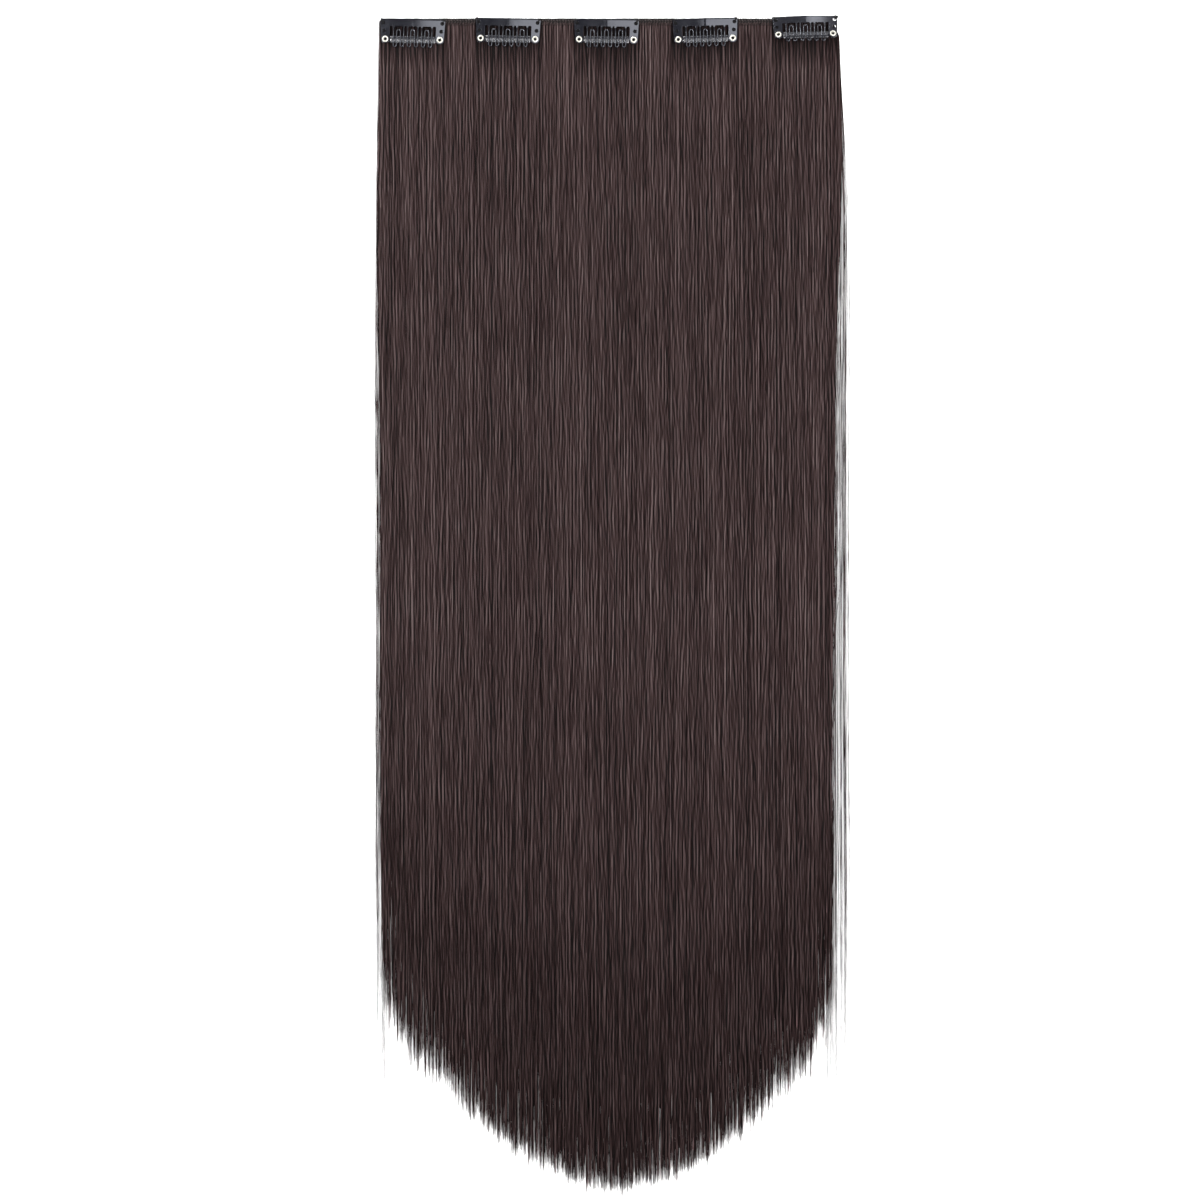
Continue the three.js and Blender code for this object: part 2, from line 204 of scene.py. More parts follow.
def make_streaks():
    """Streaks that run along Y, as strands of hair do: a fine grain, and narrow dark gaps between strands, which
    are painted shade.
    """
    tree, inside, out = shader_group(
        "hair_streaks",
        {"Fineness": 1300.0, "Length": 45.0, "Contrast": 2.0, "Gap Width": 0.06},
        ("Grain", "Gap Shade"),
    )
    where = put(tree, "ShaderNodeTexCoord").outputs["Object"]
    x, y, z = put(tree, "ShaderNodeSeparateXYZ", {0: where}).outputs

    def reckon(operation, *values, clamp=False):
        """The result of a Math node."""
        return put(tree, "ShaderNodeMath", dict(enumerate(values)), operation=operation, use_clamp=clamp).outputs[0]

    def noise(share_across, share_along, slant=0.0, shift=0.0, **inlets):
        """Noise drawn out along Y, whose lines lean by slant and are moved across by shift."""
        fine = reckon("MULTIPLY", inside.outputs["Fineness"], share_across)
        long = reckon("MULTIPLY", inside.outputs["Length"], share_along)
        leaning = reckon("MULTIPLY_ADD", y, slant, x)
        across = reckon("MULTIPLY_ADD", leaning, fine, shift)
        along = reckon("MULTIPLY", y, long)
        depth = reckon("MULTIPLY", reckon("MULTIPLY", z, fine), 0.3)
        place = put(tree, "ShaderNodeCombineXYZ", {0: across, 1: along, 2: depth})
        made = put(tree, "ShaderNodeTexNoise", {"Vector": place.outputs[0], "Scale": 1.0, **inlets})
        return reckon("SUBTRACT", made.outputs[0], 0.5)

    # Each noise less its neighbours at both sides: fine lines stay, and broad stripes between them go.
    grain = noise(1.6, 0.4, Detail=4.0, Roughness=0.8)
    for slant, along in ((0.004, 0.45), (-0.006, 1.3), (0.016, 1.9)):
        inlets = {"slant": slant, "Detail": 1.0}
        line = noise(1.0, along, **inlets)
        for shift in (-0.85, 0.85):
            line = reckon("MULTIPLY_ADD", noise(1.0, along, shift=shift, **inlets), -0.5, line)
        grain = reckon("ADD", grain, line)
    strong = reckon("MULTIPLY_ADD", grain, inside.outputs["Contrast"], 0.5, clamp=True)
    tree.links.new(strong, out.inputs["Grain"])
    # Painted shade in narrow gaps between strands, where the pile would lie in shadow.
    from_gap = reckon("ABSOLUTE", noise(0.8, 0.35, 0.003, Detail=1.0))
    gaps = put(
        tree,
        "ShaderNodeMapRange",
        {"Value": from_gap, "From Min": 0.0, "From Max": inside.outputs["Gap Width"]},
        interpolation_type="SMOOTHSTEP",
    )
    tree.links.new(gaps.outputs[0], out.inputs["Gap Shade"])
    return tree


def make_mottle():
    """Soft patches at a given size, for finishes that vary a little over a surface."""
    tree, inside, out = shader_group(
        "soft_mottle",
        {"Scale": 300.0, "Low": 0.0, "High": 1.0},
        ("Value",),
    )
    where = put(tree, "ShaderNodeTexCoord").outputs["Object"]
    noise = put(tree, "ShaderNodeTexNoise", {"Vector": where, "Scale": inside.outputs["Scale"], "Detail": 4.0})
    ends = {"To Min": inside.outputs["Low"], "To Max": inside.outputs["High"]}
    spread = put(tree, "ShaderNodeMapRange", {"Value": noise.outputs[0], "From Min": 0.3, "From Max": 0.7, **ends})
    tree.links.new(spread.outputs[0], out.inputs["Value"])
    return tree


STREAKS = make_streaks()
MOTTLE = make_mottle()


def new_material(name, **sockets):
    """A material, its node tree and its shader, with constants set on the shader's own sockets."""
    material = bpy.data.materials.new(name)
    material.use_nodes = True
    tree = material.node_tree
    shader = tree.nodes["Principled BSDF"]
    for label, value in sockets.items():
        shader.inputs[label.replace("_", " ")].default_value = value
    return material, tree, shader


def group_node(tree, group, **inlets):
    node = tree.nodes.new("ShaderNodeGroup")
    node.node_tree = group
    for label, value in inlets.items():
        node.inputs[label].default_value = value
    return node


def ramp(tree, source, stops):
    """Turns a value into a colour by stops of (value, colour)."""
    node = put(tree, "ShaderNodeValToRGB", {0: source})
    elements = node.color_ramp.elements
    while len(elements) < len(stops):
        elements.new(0.5)
    for element, (place, colour) in zip(elements, stops):
        element.position = place
        element.color = (*colour, 1)
    return node.outputs[0]


# The shades of the hair, from the darkest gap to the lightest strand, and how much each cause adds to a shade.
HAIR_SHADES = (
    (0.0, (0.002, 0.0007, 0.0007)),
    (0.2, (0.011, 0.0046, 0.0046)),
    (0.5, (0.0335, 0.0202, 0.02)),
    (0.8, (0.072, 0.0495, 0.049)),
    (0.94, (0.105, 0.0785, 0.0765)),
    (1.0, (0.16, 0.123, 0.12)),
)
# The wisps' lightest stops are paler and pinker, and are reached by their painted end glow.
WISP_SHADES = (*HAIR_SHADES[:4], (0.92, (0.136, 0.085, 0.085)), (1.0, (0.306, 0.18, 0.185)))
GRAIN_SHARE = 0.7
TONE_SHARE = 0.3
# How much the painted shade in the gaps between strands darkens them.
GAP_SHADE = 0.22
TIP_DARKENING = 0.17
ROOT_LIGHT = 0.05
# How much lighter the last 30 mm of each tip wisp are: painted light for the glow of fine ends.
END_GLOW_PAINT = 0.9
# How much painted shade darkens the hair under and beside the clips.
PAINTED_CLIP_SHADE = 0.42


def hair_material(name, shade_shift=0.0, roughness=0.45, shades=HAIR_SHADES):
    """Strands take their shade from their own attribute and from streaks, and darken towards the tips. Painted
    shade darkens the gaps between strands and the hair under the clips.
    """
    material, tree, shader = new_material(name, Roughness=roughness, Specular_IOR_Level=0.08)
    tone, along, shaded = (
        put(tree, "ShaderNodeAttribute", attribute_name=label, attribute_type="GEOMETRY").outputs["Fac"]
        for label in ("tone", "along", "painted_clip_shade")
    )
    streaks = group_node(tree, STREAKS, **{"Fineness": 1150.0, "Length": 50.0, "Contrast": 1.5, "Gap Width": 0.07})
    shares = (
        (streaks.outputs["Grain"], GRAIN_SHARE),
        (tone, TONE_SHARE),
        (streaks.outputs["Gap Shade"], GAP_SHADE),
        (shaded, -PAINTED_CLIP_SHADE),
    )
    total = shade_shift - GAP_SHADE
    for source, share in shares:
        total = put(tree, "ShaderNodeMath", {0: source, 1: share, 2: total}, operation="MULTIPLY_ADD").outputs[0]
    tips = {"From Min": 0.5, "From Max": 0.93, "To Min": 0.0, "To Max": TIP_DARKENING}
    fade = put(tree, "ShaderNodeMapRange", {"Value": along, **tips})
    roots = {"From Min": 0.0, "From Max": 0.08, "To Min": ROOT_LIGHT, "To Max": 0.0}
    root = put(tree, "ShaderNodeMapRange", {"Value": along, **roots})
    lit = put(tree, "ShaderNodeMath", {0: total, 1: root.outputs[0]}, operation="ADD")
    ends = {0: lit.outputs[0], 1: fade.outputs[0]}
    shade = put(tree, "ShaderNodeMath", ends, operation="SUBTRACT", use_clamp=True).outputs[0]
    tree.links.new(ramp(tree, shade, shades), shader.inputs["Base Color"])
    return material


def underlayer_material():
    material, tree, shader = new_material("hair_underlayer", Roughness=0.55, Specular_IOR_Level=0.06)
    fine = group_node(tree, STREAKS, Fineness=1300.0, Length=30.0, Contrast=1.6)
    bump = put(tree, "ShaderNodeBump", {"Height": fine.outputs["Grain"], "Strength": 0.8, "Distance": 0.0004})
    # Darker than the strands over it: painted shade for the hair deep in the pile.
    shades = ((0.2, (0.005, 0.0022, 0.0022)), (0.8, (0.028, 0.016, 0.015)))
    tree.links.new(ramp(tree, fine.outputs["Grain"], shades), shader.inputs["Base Color"])
    tree.links.new(bump.outputs[0], shader.inputs["Normal"])
    return material


def lacquer_material():
    material, tree, shader = new_material(
        "black_lacquer",
        Base_Color=(0.004, 0.004, 0.006, 1),
        Roughness=0.1,
        Specular_IOR_Level=0.6,
        Specular_Tint=(0.86, 0.89, 1.0, 1),
    )
    patches = group_node(tree, MOTTLE, Scale=420.0, Low=0.11, High=0.16)
    grain = group_node(tree, MOTTLE, Scale=2600.0, Low=0.0, High=1.0)
    bump = put(tree, "ShaderNodeBump", {"Height": grain.outputs[0], "Strength": 0.03, "Distance": 0.00002})
    tree.links.new(patches.outputs[0], shader.inputs["Roughness"])
    tree.links.new(bump.outputs[0], shader.inputs["Normal"])
    return material


def nickel_material():
    material, tree, shader = new_material(
        "rivet_nickel", Base_Color=(0.62, 0.6, 0.54, 1), Metallic=1.0, Roughness=0.45
    )
    patches = group_node(tree, MOTTLE, Scale=900.0, Low=0.4, High=0.52)
    tree.links.new(patches.outputs[0], shader.inputs["Roughness"])
    return material


def grip_material():
    material, tree, shader = new_material(
        "grip_silicone",
        Base_Color=(0.018, 0.018, 0.023, 1),
        Roughness=0.24,
        Coat_Weight=0.5,
        Coat_Roughness=0.1,
    )
    patches = group_node(tree, MOTTLE, Scale=700.0, Low=0.16, High=0.3)
    tree.links.new(patches.outputs[0], shader.inputs["Roughness"])
    return material


def thread_material(name, dark, light):
    material, tree, shader = new_material(name, Roughness=0.6, Specular_IOR_Level=0.12)
    ply = group_node(tree, MOTTLE, Scale=2300.0, Low=0.0, High=1.0)
    bump = put(tree, "ShaderNodeBump", {"Height": ply.outputs[0], "Strength": 0.5, "Distance": 0.0001})
    tree.links.new(ramp(tree, ply.outputs[0], ((0.1, dark), (0.9, light))), shader.inputs["Base Color"])
    tree.links.new(bump.outputs[0], shader.inputs["Normal"])
    return material


HAIR_FINE = hair_material("hair_strands", -0.04)
# The deep strands take a darker shift of the hair's shades: painted shade for the lower layer of the pile.
HAIR_DEEP_SHADED = hair_material("hair_strands_deep", -0.17, 0.5)
HAIR_WISPS = hair_material("hair_wisps", -0.02, shades=WISP_SHADES)
UNDERLAYER = underlayer_material()
LACQUER = lacquer_material()
NICKEL = nickel_material()
GRIP = grip_material()
BAND_THREAD = thread_material("band_thread", (0.006, 0.003, 0.003), (0.045, 0.03, 0.029))
# Also used for the band's core, where its near-black is painted shade under the stitches.
EDGE_THREAD_AND_CORE_SHADE = thread_material("edge_thread_and_core_shade", (0.001, 0.0007, 0.0007), (0.008, 0.006, 0.006))
# The beads' thread is lighter than the edge thread: real knots of the stitching, whose lighter colour is a painted
# highlight.
BEAD_HIGHLIGHT_THREAD = thread_material("bead_highlight_thread", (0.01, 0.0075, 0.0075), (0.11, 0.09, 0.085))
# Also used for the dark rivet discs and the thread pads, which paint shade in the hollows and holes.
SEWING_THREAD_AND_HOLE_SHADE = thread_material("sewing_thread", (0.002, 0.002, 0.0025), (0.012, 0.011, 0.012))


# Formulas that serve both arrays and fields of a node tree.
class Field:
    """A value that changes over the points of a node tree, with ordinary arithmetic."""

    def __init__(self, tree, socket):
        self.tree, self.socket = tree, socket

    def _with(self, operation, *values):
        node = self.tree.nodes.new("ShaderNodeMath")
        node.operation = operation
        for inlet, value in zip(node.inputs, values):
            if isinstance(value, Field):
                self.tree.links.new(value.socket, inlet)
            else:
                inlet.default_value = value
        return Field(self.tree, node.outputs[0])

    def __add__(self, other):
        return self._with("ADD", self, other)

    def __mul__(self, other):
        return self._with("MULTIPLY", self, other)

    def __sub__(self, other):
        return self._with("SUBTRACT", self, other)

    def __rsub__(self, other):
        return self._with("SUBTRACT", other, self)

    def __truediv__(self, other):
        return self._with("DIVIDE", self, other)

    def __pow__(self, other):
        return self._with("POWER", self, other)

    __radd__, __rmul__ = __add__, __mul__


def smooth(value, low, high):
    """0 below low, 1 above high, with a soft turn at both."""
    share = (value - low) / (high - low)
    if isinstance(share, Field):
        share = share._with("MAXIMUM", share._with("MINIMUM", share, 1.0), 0.0)
    else:
        share = np.clip(share, 0, 1)
    return share * share * (3 - 2 * share)


def tip_line(x):
    """How far down the tips end at x across: a V with a rounded point, shorter at both sides."""
    off = x - TIP_MIDDLE
    vee = TIP_SLOPE * ((off * off + TIP_ROUNDING**2) ** 0.5 - TIP_ROUNDING)
    side = (x * x / HAIR_HALF_LOW**2) ** 8
    return HAIR_LENGTH - vee - TIP_SIDE_DROP * side


def lying_height(x, down):
    """The top of the lying hair over the surface, at x across and that far down from the band's top edge."""
    rise = 0.37 + 0.63 * smooth(down, 14.0, 120.0)
    fall = 1.0 - 0.42 * smooth(down, 300.0, 540.0)
    tips = 0.24 + 0.76 * smooth(tip_line(x) - down, -4.0, 70.0)
    sides = 1.0 - 0.5 * (x * x / HAIR_HALF_LOW**2) ** 3
    return HAIR_FULLEST * rise * fall * tips * sides


def painted_clip_shade(x, down):
    """A mask of painted shade: 1 for hair that a clip covers or shades, and 0 for the rest."""
    total = 0.0
    for place, *_ in CLIPS:
        off = (x - place) * (x - place)
        total = (1.0 - smooth(off, (CLIP_HALF - 0.5) ** 2, (CLIP_HALF + 1.3) ** 2)) + total
    return total * (1.0 - smooth(down, TOOTH_REACH - 0.5, TOOTH_REACH + 3.5))


# Geometry node helpers.
class Growth:
    """A geometry node tree with named inputs for its sizes."""

    def __init__(self, name, sizes):
        self.tree = bpy.data.node_groups.new(name, "GeometryNodeTree")
        face = self.tree.interface
        face.new_socket(name="Geometry", in_out="INPUT", socket_type="NodeSocketGeometry")
        self.ids = {}
        for label, value in sizes.items():
            kind = "NodeSocketInt" if isinstance(value, int) else "NodeSocketFloat"
            socket = face.new_socket(name=label, in_out="INPUT", socket_type=kind)
            socket.default_value = value
            self.ids[label] = socket.identifier
        face.new_socket(name="Geometry", in_out="OUTPUT", socket_type="NodeSocketGeometry")
        self.inside = self.tree.nodes.new("NodeGroupInput")
        self.out = self.tree.nodes.new("NodeGroupOutput")

    def put(self, kind, inlets=(), **settings):
        plain = {key: value.socket if isinstance(value, Field) else value for key, value in dict(inlets).items()}
        return put(self.tree, kind, plain, **settings)

    def size(self, label):
        return Field(self.tree, self.inside.outputs[label])

    def field(self, socket):
        return Field(self.tree, socket)

    def chance(self, ident, seed, low=0.0, high=1.0):
        """A random number for each ident, the same one each run."""
        inlets = {2: low, 3: high, "ID": ident, "Seed": seed}
        node = self.put("FunctionNodeRandomValue", inlets, data_type="FLOAT")
        return self.field(node.outputs[1])

    def drift(self, x, y, z, detail=1.0):
        """Smooth noise between -1 and 1, at a place given by three fields."""
        place = self.put("ShaderNodeCombineXYZ", {0: x, 1: y, 2: z})
        noise = self.put("ShaderNodeTexNoise", {"Vector": place.outputs[0], "Scale": 1.0, "Detail": detail})
        return (self.field(noise.outputs[0]) - 0.5) * 3.0

    def lay(self, count, points):
        """That many curves of as many points each, one after the other, to be moved to their places."""
        line = self.put("GeometryNodeCurvePrimitiveLine")
        dense = self.put("GeometryNodeResampleCurve", {"Curve": line.outputs[0], "Count": points})
        rows = self.put("GeometryNodeMeshLine", {"Count": count})
        many = self.put("GeometryNodeInstanceOnPoints", {"Points": rows.outputs[0], "Instance": dense.outputs[0]})
        real = self.put("GeometryNodeRealizeInstances", {0: many.outputs[0]}).outputs[0]
        point = self.put("GeometryNodeInputIndex")
        number = self.put("GeometryNodeCurveOfPoint", {0: point.outputs[0]}).outputs[0]
        step = self.put("GeometryNodeSplineParameter").outputs["Index"]
        return real, self.field(number), self.field(step)

    def thickened(self, curve, profile):
        """Closed threads along a curve, as thick as its radius says."""
        radius = self.put("GeometryNodeInputRadius").outputs[0]
        inlets = {"Curve": curve, "Profile Curve": profile, "Scale": radius, "Fill Caps": True}
        return self.put("GeometryNodeCurveToMesh", inlets).outputs[0]

    def end(self, geometry, material):
        real = self.put("GeometryNodeRealizeInstances", {0: geometry})
        done = self.put("GeometryNodeSetMaterial", {"Geometry": real.outputs[0], "Material": material})
        self.tree.links.new(done.outputs[0], self.out.inputs[0])

    def grow(self, name, **sizes):
        """Runs the tree with these sizes and gives its result as a plain piece."""
        host = bpy.data.objects.new(name + "_host", bpy.data.meshes.new(name + "_host"))
        bpy.context.scene.collection.objects.link(host)
        modifier = host.modifiers.new("growth", "NODES")
        modifier.node_group = self.tree
        for label, value in sizes.items():
            modifier[self.ids[label.replace("_", " ")]] = value
        depsgraph = bpy.context.evaluated_depsgraph_get()
        mesh = bpy.data.meshes.new_from_object(host.evaluated_get(depsgraph), depsgraph=depsgraph)
        bpy.data.objects.remove(host)
        mesh.transform(WEFT)
        return piece(name, mesh)


def piece(name, mesh, material=None):
    mesh.name = name
    found = bpy.data.objects.new(name, mesh)
    bpy.context.scene.collection.objects.link(found)
    if material:
        mesh.materials.clear()
        mesh.materials.append(material)
    return found


# The hair: an underlayer that holds its form, and strands laid over it.
def underlayer():
    """A closed sheet with a rounded top, a little inside the outline of the strands."""
    columns, rows = 108, 46
    across = np.linspace(-1, 1, columns)
    rng = np.random.default_rng(4)
    tuft = np.interp(across, np.linspace(-1, 1, 64), rng.uniform(0, 1, 64))
    along = np.linspace(0, 1, rows)
    verts = []
    for layer in (1, 0):
        for way in along:
            for i, a in enumerate(across):
                low_x = a * (HAIR_HALF_LOW - 1.5)
                end = tip_line(low_x) - 34 - 26 * tuft[i] - 80 * abs(a) ** 12
                down = 2.0 + way * (end - 2.0)
                x = a * ((HAIR_HALF_TOP - 1.0) + (HAIR_HALF_LOW - HAIR_HALF_TOP - 0.5) * min(1.0, down / 80))
                right = float(smooth(x, 95.0, 114.0))
                drawn = 0.68 * float(smooth(down, 60.0, 200.0)) + 0.3 * float(smooth(down, 260.0, 480.0))
                x -= right * ((HAIR_DRAWN_IN + 1.0) * drawn + 5.0 * (1 - float(smooth(down, 3.0, 14.0))))
                top = 0.86 * float(lying_height(x, down)) + 0.12 * math.sin(x * 1.9) * min(1, down / 30)
                shut = min(1.0, (1 - way) * 14) ** 0.5 * min(1.0, (1 - abs(a)) * 40) ** 0.5
                left = float(smooth(-x, 95.0, 114.0))
                x += left * 3.5 * float(smooth(down, 130.0, 500.0))
                verts.append((x, -down, 0.12 + (max(top, 0.4) - 0.12) * max(shut, 0.12) if layer else 0.08))
    mesh = bpy.data.meshes.new("hair_underlayer")
    bm = bmesh.new()
    made = [bm.verts.new(v) for v in verts]
    size = columns * rows

    def at(layer, row, column):
        return made[layer * size + row * columns + column]

    for r in range(rows - 1):
        for c in range(columns - 1):
            bm.faces.new((at(0, r, c), at(0, r + 1, c), at(0, r + 1, c + 1), at(0, r, c + 1)))
            bm.faces.new((at(1, r, c), at(1, r, c + 1), at(1, r + 1, c + 1), at(1, r + 1, c)))
    for r in range(rows - 1):
        bm.faces.new((at(0, r, 0), at(1, r, 0), at(1, r + 1, 0), at(0, r + 1, 0)))
        last = columns - 1
        bm.faces.new((at(0, r, last), at(0, r + 1, last), at(1, r + 1, last), at(1, r, last)))
    for c in range(columns - 1):
        bm.faces.new((at(0, 0, c), at(0, 0, c + 1), at(1, 0, c + 1), at(1, 0, c)))
        bm.faces.new((at(0, rows - 1, c), at(1, rows - 1, c), at(1, rows - 1, c + 1), at(0, rows - 1, c + 1)))
    bmesh.ops.recalc_face_normals(bm, faces=bm.faces)
    bm.to_mesh(mesh)
    bm.free()
    mesh.shade_smooth()
    mesh.transform(WEFT)
    return piece("hair_underlayer", mesh, UNDERLAYER)


def strand_tree(material):
    """Lays tapered strands from the band to the tip line. They gather into tufts towards their ends."""
    g = Growth(
        "lay_strands",
        {
            "Strands": 100,
            "Segments": 12,
            "Half Width": 0.2,
            "Flatness": 0.5,
            "Tufts": 80.0,
            "Gather": 0.5,
            "Wander": 0.6,
            "Sway": 1.0,
            "Shortfall": 8.0,
            "Edge Loss": 70.0,
            "Longer": 0.0,
            "Stray": 0.0,
            "Depth": 0.25,
            "Drawn In": 1.0,
            "Side From": -1.0,
            "Side To": 1.0,
            "Rarity": 9.0,
            "Tips Only": 0.0,
            "Tip Reach": TIP_REACH,
            "Thinning": 130.0,
            "Tip Share": 0.2,
            "Seed": 1,
        },
    )
    strands, segments = g.size("Strands"), g.size("Segments")
    real, strand, point = g.lay(strands, segments + 1.0)
    step = point / segments
    seed = g.size("Seed")

    # Points are closer together at the root, where a strand climbs out of the band, and at the tip.
    along = step * step * 0.55 + 0.45 * (step * step * (3.0 - 2.0 * step))
    tips_only = g.size("Tips Only")
    side = g.size("Side From") + (g.size("Side To") - g.size("Side From")) * g.chance(strand, seed, 0.0, 1.0)
    tufts = g.size("Tufts")
    slot = (side + 1.0) * 0.5 * tufts
    slot_number = slot._with("FLOOR", slot)
    tuft_middle = (slot_number + g.chance(slot_number, seed + 31.0, 0.2, 0.8)) / tufts * 2.0 - 1.0
    way = along + tips_only * (1.0 - along)
    pull = g.size("Gather") * smooth(way, 0.15, 1.0) * g.chance(strand, seed + 11.0, 0.35, 1.0)
    gathered = side + (tuft_middle - side) * pull

    # How far a strand ends short of the tip line: a little in the middle, more at the sides.
    reach = tip_line(gathered * HAIR_HALF_LOW) + g.size("Longer")
    luck = g.chance(strand, seed + 5.0, 0.0, 1.0)
    tuft_luck = g.chance(slot_number, seed + 37.0, 0.0, 1.0)
    outer = gathered * gathered
    raggedness = (luck**0.6 * 0.8 + tuft_luck * 0.25) * (1.0 + 1.3 * smooth(outer, 0.15, 0.7))
    edge_luck = g.chance(strand, seed + 41.0, 0.0, 1.0)
    edge = smooth(outer, 0.9, 1.0) * edge_luck * edge_luck * g.size("Edge Loss")
    full = reach - g.size("Shortfall") * raggedness - edge
    root = g.chance(strand, seed + 7.0, 0.6, 2.2)
    start = root + tips_only * (full - root - g.size("Tip Reach") * g.chance(strand, seed + 43.0, 0.5, 1.0))
    down = start + along * (full - start)

    at_top = gathered._with("MINIMUM", gathered, 0.995) * HAIR_HALF_TOP
    broad = g.drift(gathered * 3.0, down * 0.004, seed * 1.7) * g.size("Sway")
    own = g.drift(strand * 7.31, down * 0.013, seed * 0.37) * g.size("Wander")
    wild = g.chance(strand, seed + 13.0, 0.0, 1.0) ** g.size("Rarity")
    stray = g.drift(strand * 3.17, down * 0.007, seed * 0.53) * g.size("Stray") * wild
    loose = smooth(down, 4.0, 160.0)
    spread = at_top + (gathered * HAIR_HALF_LOW - at_top) * smooth(down, 0.0, 110.0)
    at_right, at_left = smooth(spread, 88.0, 115.0), smooth(spread * -1.0, 88.0, 115.0)
    drawn_right = (smooth(down, 60.0, 200.0) * 0.68 + smooth(down, 260.0, 480.0) * 0.3) * at_right
    drawn_left = (smooth(down, 70.0, 220.0) * 0.26 + smooth(down, 360.0, 500.0) * 0.14) * at_left
    drawn = g.size("Drawn In") * HAIR_DRAWN_IN * (drawn_right - drawn_left)
    corner = CORNER_DRAWN_IN * (1.0 - smooth(down, 2.5, 9.5)) * smooth(spread, 98.0, 114.0)
    x = spread - drawn - corner + (broad + own + stray) * loose

    # Height: a strand keeps to its own depth in the pile, and tufts are rounded on top.
    deep = g.chance(strand, seed + 17.0, 0.0, 1.0)
    layer = 1.0 - g.size("Depth") * deep
    across_tuft = (slot - slot_number - 0.5) * 2.0
    crown = (1.0 - across_tuft * across_tuft) * 0.22 * smooth(down, 20.0, 120.0)
    top = lying_height(x, down)
    from_root = smooth(down, 0.0, 6.0)
    waver = g.drift(strand * 5.3, down * 0.02, seed * 0.9) * 0.07 * loose
    height = (ROOT_HEIGHT + (top * layer + crown - ROOT_HEIGHT) * from_root) + waver
    z = height._with("MAXIMUM", height, FLOOR_GAP)
    place = g.put("ShaderNodeCombineXYZ", {0: x, 1: down * -1.0, 2: z})
    laid = g.put("GeometryNodeSetPosition", {"Geometry": real, "Position": place.outputs[0]})

    # The last 30 mm of each tip wisp are lighter and pinker: painted light for the glow of fine ends against the
    # floor.
    end_glow = tips_only * (1.0 - smooth(full - down, 2.0, 30.0)) * END_GLOW_PAINT
    own_tone, tuft_tone = g.chance(strand, seed + 19.0, 0.0, 1.0), g.chance(slot_number, seed + 23.0, 0.0, 1.0)
    tone = own_tone * 0.92 + tuft_tone * 0.08 + end_glow
    marked = laid
    # The third attribute marks the hair under and beside the clips, which the hair material darkens as painted
    # shade.
    for label, value in (("tone", tone), ("along", down / HAIR_LENGTH), ("painted_clip_shade", painted_clip_shade(x, down))):
        inlets = {"Geometry": marked.outputs[0], "Name": label, "Value": value}
        marked = g.put("GeometryNodeStoreNamedAttribute", inlets, data_type="FLOAT", domain="POINT")
    upright = g.put("GeometryNodeSetCurveNormal", {"Curve": marked.outputs[0]}, mode="Z_UP")
    thick = g.size("Half Width") * g.chance(strand, seed + 29.0, 0.55, 1.3)
    thinning = smooth(full - down, 0.0, g.size("Thinning"))
    tip_share = g.size("Tip Share")
    taper = (0.5 + 0.5 * smooth(down, 0.0, 20.0)) * (tip_share + (1.0 - tip_share) * thinning)
    radius = thick * taper
    sized = g.put("GeometryNodeSetCurveRadius", {"Curve": upright.outputs[0], "Radius": radius})
    ring = g.put("GeometryNodeCurvePrimitiveCircle", {"Resolution": 3, "Radius": 1.0}, mode="RADIUS")
    flat = g.put("ShaderNodeCombineXYZ", {0: 1.0, 1: g.size("Flatness"), 2: 1.0})
    flat_ring = g.put("GeometryNodeTransform", {"Geometry": ring.outputs[0], "Scale": flat.outputs[0]})
    g.end(g.thickened(sized.outputs[0], flat_ring.outputs[0]), material)
    return g


